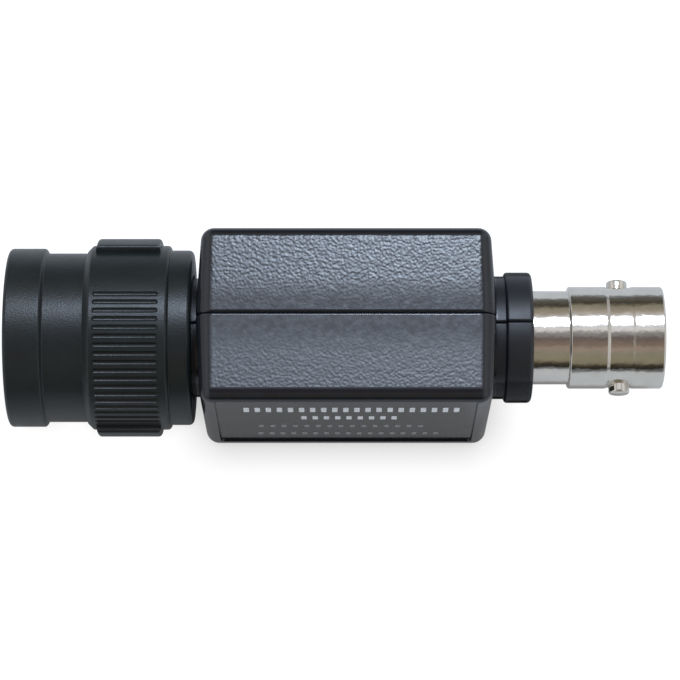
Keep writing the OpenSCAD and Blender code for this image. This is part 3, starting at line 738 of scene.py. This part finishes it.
def make_shell(s, side):
    """One moulded half of the housing: -1 is the label side, 1 the back. It is made a little past
    the parting plane with whole round necks, and then cut off there."""
    x0, x1 = -s.box_start, s.box_end
    hy, hz = s.half_depth, s.half_height
    lean = hy * math.tan(s.draft)
    inner = hy - s.wall
    spare, overlap, neck_root = 0.6, 0.1, 0.7
    rib_width, rib_bore = 1, 4.3
    post_radius, post_inset, post_height = 0.8, 1.3, 6.2
    sharp, level, field_corner = 0.8, 0.001, 0.35
    tongue_height, groove_depth, groove_slack = 0.6, 0.65, 0.05
    past_all = 20

    def span(near, far):
        """A range of Y on this shell's side, lowest first."""
        return sorted((side * near, side * far))

    def bar(label, outline, steps=96):
        """A round bar or bore about the axis, turned so that no corner lies on the parting plane."""
        return turned(label, outline, steps, 360, 180 / steps)

    def at_seam(edge):
        """Tells the outer edges of the parting face, on the box and on both necks."""
        return len(edge.link_faces) == 2 and edge.calc_face_angle(0) > sharp and all(
            abs(v.co.y) < level and (not x0 + 1 < v.co.x < x1 - 1 or abs(v.co.z) > hz - 1)
            and abs(v.co.z) > s.rear_bore + 0.5 for v in edge.verts)

    def textured(face):
        """Tells the flat side faces and the first strip of the roundings beside them, except at the
        seam and towards the label."""
        middle = face.calc_center_median()
        flat = abs(face.normal.z) > 0.999
        strip = abs(face.normal.z) > 0.97 and face.normal.y > -0.02 and abs(middle.y) > 0.5
        return abs(middle.z) > hz - 0.1 and (flat or strip)

    y0, y1 = span(-spare, hy)
    shell = block("Label_side" if side < 0 else "Back_side", (x0 + lean, y0, -hz), (x1 - lean, y1, hz))
    soften(shell, lambda e: any(v.co.y * side > 0 for v in e.verts), s.edge, 8)
    edit(shell)
    grown = 1 + lean * (1 + spare / (hy - s.edge)) / s.edge
    for corner_x, corner_z in itertools.product((x0, x1), (hz, -hz)):
        centre_x = corner_x + math.copysign(lean + s.edge, -corner_x)
        pick("VERT", lambda v: v.co.y * side < 0 and v.co.z * corner_z > 0
             and abs(v.co.x - corner_x) < lean + s.edge + 0.01)
        bpy.ops.transform.resize(value=(grown, 1, grown), center_override=(centre_x, 0, corner_z))
    leave()
    y0, y1 = span(-spare - 1, inner)
    cut(shell, block("Cavity", (x0 + s.wall, y0, s.wall - hz), (x1 - s.wall, y1, hz - s.wall)))
    cut(shell,
        bar("Left_neck", rounded([(-s.neck_start, 0), (-s.neck_start, s.neck_radius, 0.35),
            (x0 + neck_root, s.neck_radius), (x0 + neck_root, 0)])),
        bar("Right_neck", rounded([(x1 - neck_root, 0), (x1 - neck_root, s.socket_neck),
            (s.collar_start, s.socket_neck, 0.05), (s.collar_start, s.collar_radius, 0.29),
            (s.collar_end, s.collar_radius, 0.4), (s.collar_end, 0)])), operation="UNION")

    # Ribs against the plug's plate and the socket's flange, and posts that hold the board
    y0, y1 = span(-spare, inner + overlap)
    rib_z = hz - s.wall + overlap
    for rib_x in (PLATE_END + 0.02, SOCKET_LOW.x - 1.02):
        rib = block("Rib", (rib_x, y0, -rib_z), (rib_x + rib_width, y1, rib_z))
        cut(rib, bar("Rib_bore", rod(rib_x - 1, rib_x + rib_width + 1, rib_bore), 48))
        cut(shell, rib, operation="UNION")
    post_end = s.board_top + 1 if side < 0 else max(-s.board_top, -spare)
    for post_x, post_z in itertools.product((BOARD_LOW.x + post_inset, BOARD_HIGH.x - post_inset),
                                            (-post_height, post_height)):
        post = turned("Post", rod(post_end, inner + overlap, post_radius), 16)
        cut(shell, place(post, turn=(0, 0, 90 * side), move=(post_x, 0, post_z)), operation="UNION")

    # The parting face, its rounded edges outside, and the tongue or groove
    y0, y1 = span(-5, 0)
    cut(shell, block("Past_the_parting", (-past_all, y0, -past_all), (past_all, y1, past_all)))
    soften(shell, at_seam, s.seam, 4, clamp=False)
    if side < 0:
        cut(shell, rim_ring(s, 0, -0.3, tongue_height), operation="UNION")
    else:
        cut(shell, rim_ring(s, groove_slack, -0.5, groove_depth))
    cut(shell,
        bar("Plug_bore", rod(-s.neck_start - 1, x0 + s.wall + 0.5, s.front_bore)),
        bar("Socket_bore", rod(x1 - s.wall - 0.5, s.collar_end + 1, s.rear_bore)))
    if side < 0:
        field = block("Label_field", (x0 + s.label_margin, -hy - 1, -s.label_foot),
                      (x1 - s.label_margin, s.label_depth - hy, s.label_top))
        soften(field, runs_across, field_corner, 5)
        edit(field)
        pick("FACE", lambda f: f.normal.y < -0.9)
        half = (x1 - x0) / 2 - s.label_margin
        wider = 1 + s.label_slope * (1 + 1 / s.label_depth) / half
        bpy.ops.transform.resize(value=(wider, 1, 1), center_override=((x0 + x1) / 2, 0, 0))
        leave()
        cut(shell, field)
    mark_faces(shell, 1, textured)
    return shell


def make_socket(s):
    """The socket body: rear barrel, bayonet barrel with a shallow band and pin holes, and flange."""
    x0, x1 = SOCKET_LOW.x, SOCKET_HIGH.x
    band = s.pin_radius + s.band_margin
    dipped = s.barrel_radius - s.band_dip
    flange_bore, flange_edge = s.rear_radius - 0.15, 0.12
    hole_radius, hole_depth, hole_start = s.pin_radius + 0.02, 2, s.bore - 0.07
    body = turned("Socket_body", rounded([
        (x0, s.rear_bore), (x0, s.rear_radius), (s.barrel_start, s.rear_radius, 0.06),
        (s.barrel_start, s.barrel_radius, 0.22),
        (PINS_PLACE - band - s.band_edge, s.barrel_radius, 0.3),
        (PINS_PLACE - band, dipped, 0.3), (PINS_PLACE + band, dipped, 0.3),
        (PINS_PLACE + band + s.band_edge, s.barrel_radius, 0.3),
        (x1, s.barrel_radius, 0.22), (x1, s.bore, 0.2), (s.bore_floor, s.bore, 0.1),
        (s.bore_floor, s.rear_bore)], 4), 144)
    half = s.plate_width / 2
    plate = block("Flange", (x0, -half, -half), (x0 + s.plate_thickness, half, half))
    soften(plate, lambda e: True, flange_edge)
    cut(plate, turned("Flange_bore", rod(x0 - 1, x0 + s.plate_thickness + 1, flange_bore), 72))
    cut(body, plate, operation="UNION")
    for turn in (90, -90):
        hole = turned("Pin_hole", rod(0, hole_depth, hole_radius), 32)
        cut(body, place(hole, turn=(0, 0, turn),
                        move=(PINS_PLACE, math.copysign(hole_start, turn), 0)))
    return body


def make_pins(s):
    """Both bayonet pins, with crowned tips."""
    root = s.bore + 0.08
    tall = PINS_HIGH.y - root
    crown, tip_radius = 0.08, 0.35
    pins = []
    for turn in (90, -90):
        pin = turned("Bayonet_pins", rounded([
            (0, 0), (0, s.pin_radius), (tall - crown, s.pin_radius, 0.2), (tall, tip_radius, 0.3),
            (tall, 0)], 4), 40)
        pins.append(place(pin, turn=(0, 0, turn), move=(PINS_PLACE, math.copysign(root, turn), 0)))
    return join(*pins)


def make_print(s):
    """Generic pale bars in rows on the sunk label field. A row is its height above the axis, its
    middle, its number of bars, and each bar's width, height and pitch."""
    rows = ((4.8, 1.4, 20, 0.5, 1.7, 1.02), (1.6, 1.19, 9, 0.5, 1.3, 1.05),
            (-1.8, 0.44, 15, 0.45, 1.0, 1.07), (-4.9, 1.15, 17, 0.45, 1.0, 1.04))
    front = -s.half_depth + s.label_depth
    ink, corner = 0.015, 0.12
    bars = []
    for z, middle, count, width, height, pitch in rows:
        for k in range(count):
            x = middle + (k - (count - 1) / 2) * pitch
            bar = block("Printed_bars", (x - width / 2, front - ink, z - height / 2),
                        (x + width / 2, front, z + height / 2))
            soften(bar, runs_across, corner, 3)
            bars.append(bar)
    return join(*bars)


# Stage

def make_floor(height, tint):
    """White paper, which keeps the object's shadow. A little glow takes its lit part to white, and
    its far parts look darker in reflections. The glow carries a painted contact shadow where
    occlusion dims it, and for diffuse rays it is painted fill light on the object."""
    bpy.ops.object.select_all(action="DESELECT")
    bpy.ops.mesh.primitive_circle_add(vertices=64, radius=1.5, fill_type="NGON",
                                      location=(0, 0, height))
    floor = bpy.context.object
    floor.name = "Studio_floor"
    material, tree = blank("White paper")
    rays = add(tree, "LightPath").outputs
    seen, glossy = rays["Is Camera Ray"], rays["Is Glossy Ray"]

    # The paper is darker for the camera, and fades from 70 mm off in reflections
    spot = add(tree, "TexCoord").outputs["Object"]
    behind = add(tree, "SeparateXYZ", {0: spot}).outputs["Y"]
    away = add(tree, "Math", {0: behind}, operation="ABSOLUTE")
    far = add(tree, "MapRange", {"Value": away, "From Min": 0.07, "From Max": 0.11, "To Max": 0.65},
              interpolation_type="SMOOTHSTEP")
    lost = add(tree, "Math", {0: glossy, 1: far}, operation="MULTIPLY")
    kept = add(tree, "Math", {0: 1.0, 1: lost}, operation="SUBTRACT")
    share = add(tree, "MapRange", {"Value": seen, "To Min": 1.0, "To Max": 0.33})
    amount = add(tree, "Math", {0: share, 1: kept}, operation="MULTIPLY")
    tone = add(tree, "VectorMath", {0: tint, 1: amount}, operation="MULTIPLY")
    paper = add(tree, "BsdfDiffuse", {"Color": tone})

    # Its glow is least close to what stands on it, a painted contact shadow from occlusion, and for
    #     # diffuse rays it is painted fill light, slightly blue where it lights other things
    open_air = add(tree, "AmbientOcclusion", {"Distance": 3.4 * MM}, samples=4).outputs["AO"]
    contact = add(tree, "Math", {0: open_air, 1: 0.56, 2: 0.39}, operation="MULTIPLY_ADD")
    screen = add(tree, "Math", {0: seen, 1: contact}, operation="MULTIPLY")
    # Painted fill light: the paper glows for diffuse rays and so lights the object
    painted_fill_and_camera_glow = add(tree, "Math", {0: rays["Is Diffuse Ray"], 1: 0.6, 2: screen},
                 operation="MULTIPLY_ADD")
    mirror = add(tree, "Math", {0: glossy, 1: rays["Is Transmission Ray"]}, operation="MAXIMUM")
    mirrored = add(tree, "Math", {0: mirror, 1: kept}, operation="MULTIPLY")
    strength = add(tree, "Math", {0: mirrored, 1: 0.12, 2: painted_fill_and_camera_glow}, operation="MULTIPLY_ADD")
    hue = add(tree, "Mix", {0: seen, FIRST: (0.8, 0.9, 1.0, 1.0), SECOND: (1.0, 1.0, 1.0, 1.0)},
              data_type="RGBA").outputs[MIXED]
    glow = add(tree, "Emission", {"Color": hue, "Strength": strength})
    add(tree, "OutputMaterial", {"Surface": add(tree, "AddShader", {0: paper, 1: glow})})
    floor.data.materials.append(material)


def make_tent(height, strength):
    """A dome of cloth over the floor. Its tones run round the X axis, in degrees from upright towards
    the back, and its end walls have a few grey levels of their own."""
    tones = ((-90, "#2a2622"), (-82, "#40392f"), (-78, "#5f574a"), (-74, "#8b8474"),
             (-70, "#95907c"), (-58, "#969280"), (-51, "#979182"), (-47, "#9f968b"),
             (-39, "#a9998d"), (-35, "#998a80"), (-31, "#8d7d75"), (-25, "#877970"),
             (-17, "#73686a"), (-13, "#7c7472"), (-9, "#929090"), (-4, "#969598"),
             (-1, "#b0afb4"), (2, "#e6e5ea"), (7, "#f2f1f6"), (10, "#dcdce2"), (16, "#e2e0e6"),
             (36, "#d8d4d2"), (41, "#c4bfb8"), (46, "#b7afa5"), (53, "#a59d8f"), (62, "#979485"),
             (66, "#7c7668"), (69, "#5e584e"), (73, "#4a463e"), (78, "#5a5650"), (90, "#6c6a66"))
    walls = ((0.0, 0.45), (0.45, 0.5), (0.74, 0.95), (1.0, 0.5))
    bpy.ops.object.select_all(action="DESELECT")
    bpy.ops.mesh.primitive_uv_sphere_add(segments=64, ring_count=32, radius=0.6)
    tent = bpy.context.object
    tent.name = "Light_tent"
    edit(tent)
    everything()
    bpy.ops.mesh.bisect(plane_co=(0, 0, height), plane_no=(0, 0, 1), clear_inner=True)
    everything()
    bpy.ops.mesh.flip_normals()
    leave()
    tent.visible_camera = False

    material, tree = blank("Tent cloth, lit from outside")
    spot = add(tree, "TexCoord").outputs["Object"]
    unit = add(tree, "VectorMath", {0: spot}, operation="NORMALIZE")
    parts = add(tree, "SeparateXYZ", {0: unit}).outputs
    turn = add(tree, "Math", {0: parts["Y"], 1: parts["Z"]}, operation="ARCTAN2")
    share = add(tree, "MapRange", {"Value": turn, "From Min": -math.pi / 2, "From Max": math.pi / 2})
    over = add(tree, "ValToRGB", {"Fac": share}, [((at + 90) / 180, code) for at, code in tones])
    aside = add(tree, "Math", {0: parts["X"]}, operation="ABSOLUTE")
    at_end = add(tree, "MapRange", {"Value": aside, "From Min": 0.3, "From Max": 0.42},
                 interpolation_type="SMOOTHSTEP")
    ends = add(tree, "ValToRGB", {"Fac": aside}, walls)
    cloth = add(tree, "Mix", {0: at_end, FIRST: over, SECOND: ends}, data_type="RGBA").outputs[MIXED]
    glow = add(tree, "Emission", {"Color": cloth, "Strength": strength})
    add(tree, "OutputMaterial", {"Surface": glow})
    tent.data.materials.append(material)


def make_lamp(name, radiance, tint, wide, tall, aside, away):
    """A rectangular lamp above and a little behind the object, facing its axis. Its size, its shift
    along the axis and its distance are in metres."""
    lean = math.radians(24.6)
    lamp = bpy.data.lights.new(name, "AREA")
    lamp.shape = "RECTANGLE"
    lamp.size, lamp.size_y = wide, tall
    lamp.energy = radiance * math.pi * wide * tall
    lamp.color = tint
    stand = bpy.data.objects.new(name, lamp)
    bpy.context.collection.objects.link(stand)
    stand.location = (aside, away * math.sin(lean), away * math.cos(lean))
    stand.rotation_euler = (-lean, 0, 0)


def make_camera(s):
    """A camera in front of the label side that looks down at the aim point."""
    back = Vector((0, -math.cos(s.elevation), math.sin(s.elevation)))
    up = Vector((0, math.sin(s.elevation), math.cos(s.elevation)))
    aim = Vector((s.aim_along, 0, 0)) - up * s.aim_below
    data = bpy.data.cameras.new("Camera")
    data.lens = s.focal
    data.sensor_width = 36
    data.clip_start = 0.01
    data.clip_end = 10
    camera = bpy.data.objects.new("Camera", data)
    bpy.context.collection.objects.link(camera)
    camera.location = (aim + back * s.distance) * MM
    camera.rotation_euler = (math.pi / 2 - s.elevation, 0, 0)
    bpy.context.scene.camera = camera


# Operators, panel and add-on

class ATTENUATOR_OT_sleeve(bpy.types.Operator):
    """Models the locking sleeve with its ridges and finger pads"""
    bl_idname = "attenuator.sleeve"
    bl_label = "Locking sleeve"

    def execute(self, context):
        piece = make_sleeve(sizes(context.scene.attenuator_sleeve))
        hand_over(piece, [finish("sleeve")], ["locking_sleeve"], "sleeve")
        return {"FINISHED"}


class ATTENUATOR_OT_shells(bpy.types.Operator):
    """Models both housing shells"""
    bl_idname = "attenuator.shells"
    bl_label = "Housing shells"

    def execute(self, context):
        s = sizes(context.scene.attenuator_housing)
        for side, node in ((-1, "label_shell"), (1, "back_shell")):
            shell = make_shell(s, side)
            hand_over(shell, [finish("housing"), finish("eroded")], [node])
        return {"FINISHED"}


class ATTENUATOR_OT_socket(bpy.types.Operator):
    """Models the socket body and its bayonet pins"""
    bl_idname = "attenuator.socket"
    bl_label = "Bayonet socket"

    def execute(self, context):
        s = sizes(context.scene.attenuator_socket)
        hand_over(make_socket(s), [finish("nickel")], ["socket_shell"])
        hand_over(make_pins(s), [finish("nickel")], ["bayonet_pins"])
        return {"FINISHED"}


class ATTENUATOR_OT_print(bpy.types.Operator):
    """Models the generic printed bars on the label field"""
    bl_idname = "attenuator.print"
    bl_label = "Printed bars"

    def execute(self, context):
        bars = make_print(sizes(context.scene.attenuator_housing))
        hand_over(bars, [finish("print")])
        return {"FINISHED"}


class ATTENUATOR_OT_inner(bpy.types.Operator):
    """Gives the inner CAD nodes their finishes"""
    bl_idname = "attenuator.inner"
    bl_label = "Inner parts"

    def execute(self, context):
        finishes = {
            "nickel": ["bayonet_ring", "plug_body", "plug_plate"],
            "steel": ["thrust_washer", "wave_spring"],
            "rubber": ["plug_gasket"],
            "gold": ["outer_contact", "centre_pin", "socket_contact"],
            "insulator": ["plug_insulator", "socket_insulator"],
            "board": ["circuit_board"],
            "resistor": ["series_resistor", "shunt_resistor"],
            "ceramic": ["series_capacitor", "shunt_capacitor"],
            "tin": ["screen_can", "plug_earth_links", "socket_earth_links"],
        }
        for name, nodes in finishes.items():
            for node in nodes:
                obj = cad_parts[node]
                obj.data.materials.clear()
                obj.data.materials.append(finish(name))
        return {"FINISHED"}


class ATTENUATOR_OT_stage(bpy.types.Operator):
    """Builds the floor, the light tent, the softbox and the camera"""
    bl_idname = "attenuator.stage"
    bl_label = "Studio"

    def execute(self, context):
        s = sizes(context.scene.attenuator_studio)
        make_floor(cad_box[0].z, context.scene.attenuator_colours.floor)
        make_tent(cad_box[0].z, s.tent)

        # The texture's slopes catch the softbox's bright middle as small glints
        make_lamp("Softbox", s.light, (0.79, 0.95, 1.21), wide=0.2, tall=0.155, aside=0.01, away=0.5)
        make_lamp("Softbox_middle", s.glint, (0.84, 0.98, 1.13), wide=0.08, tall=0.05, aside=0.055,
                  away=0.49)

        # Pale world behind everything, for the views that see past the floor
        world = bpy.data.worlds.new("White studio")
        context.scene.world = world
        world.use_nodes = True
        world.node_tree.nodes["Background"].inputs["Color"].default_value = (1, 1, 1, 1)

        make_camera(s)
        context.scene.view_settings.view_transform = "Standard"
        return {"FINISHED"}


class ATTENUATOR_PT_panel(bpy.types.Panel):
    """Lists the pieces and their sizes in the 3D view's sidebar"""
    bl_label = "Attenuator"
    bl_idname = "ATTENUATOR_PT_panel"
    bl_space_type = "VIEW_3D"
    bl_region_type = "UI"
    bl_category = "Attenuator"

    def draw(self, context):
        for operator in OPERATORS:
            self.layout.operator(operator.bl_idname)
        for key in GROUPS:
            group = getattr(context.scene, key)
            column = self.layout.column()
            for name in group.bl_rna.properties.keys():
                if name not in ("rna_type", "name"):
                    column.prop(group, name)


GROUPS = {
    "attenuator_sleeve": SleeveSizes,
    "attenuator_housing": HousingSizes,
    "attenuator_socket": SocketSizes,
    "attenuator_colours": FinishColours,
    "attenuator_studio": StudioSizes,
}
OPERATORS = (ATTENUATOR_OT_sleeve, ATTENUATOR_OT_shells, ATTENUATOR_OT_socket, ATTENUATOR_OT_print,
             ATTENUATOR_OT_inner, ATTENUATOR_OT_stage)


def register():
    """Registers the groups, operators and panel."""
    for key, group in GROUPS.items():
        bpy.utils.register_class(group)
        setattr(bpy.types.Scene, key, PointerProperty(type=group))
    for operator in OPERATORS:
        bpy.utils.register_class(operator)
    bpy.utils.register_class(ATTENUATOR_PT_panel)


def unregister():
    """Takes everything out again."""
    bpy.utils.unregister_class(ATTENUATOR_PT_panel)
    for operator in reversed(OPERATORS):
        bpy.utils.unregister_class(operator)
    for key, group in GROUPS.items():
        delattr(bpy.types.Scene, key)
        bpy.utils.unregister_class(group)


def main():
    """Builds the whole scene."""
    register()
    bpy.ops.attenuator.sleeve()
    bpy.ops.attenuator.shells()
    bpy.ops.attenuator.socket()
    bpy.ops.attenuator.print()
    bpy.ops.attenuator.inner()
    bpy.ops.attenuator.stage()


if __name__ == "__main__":
    main()
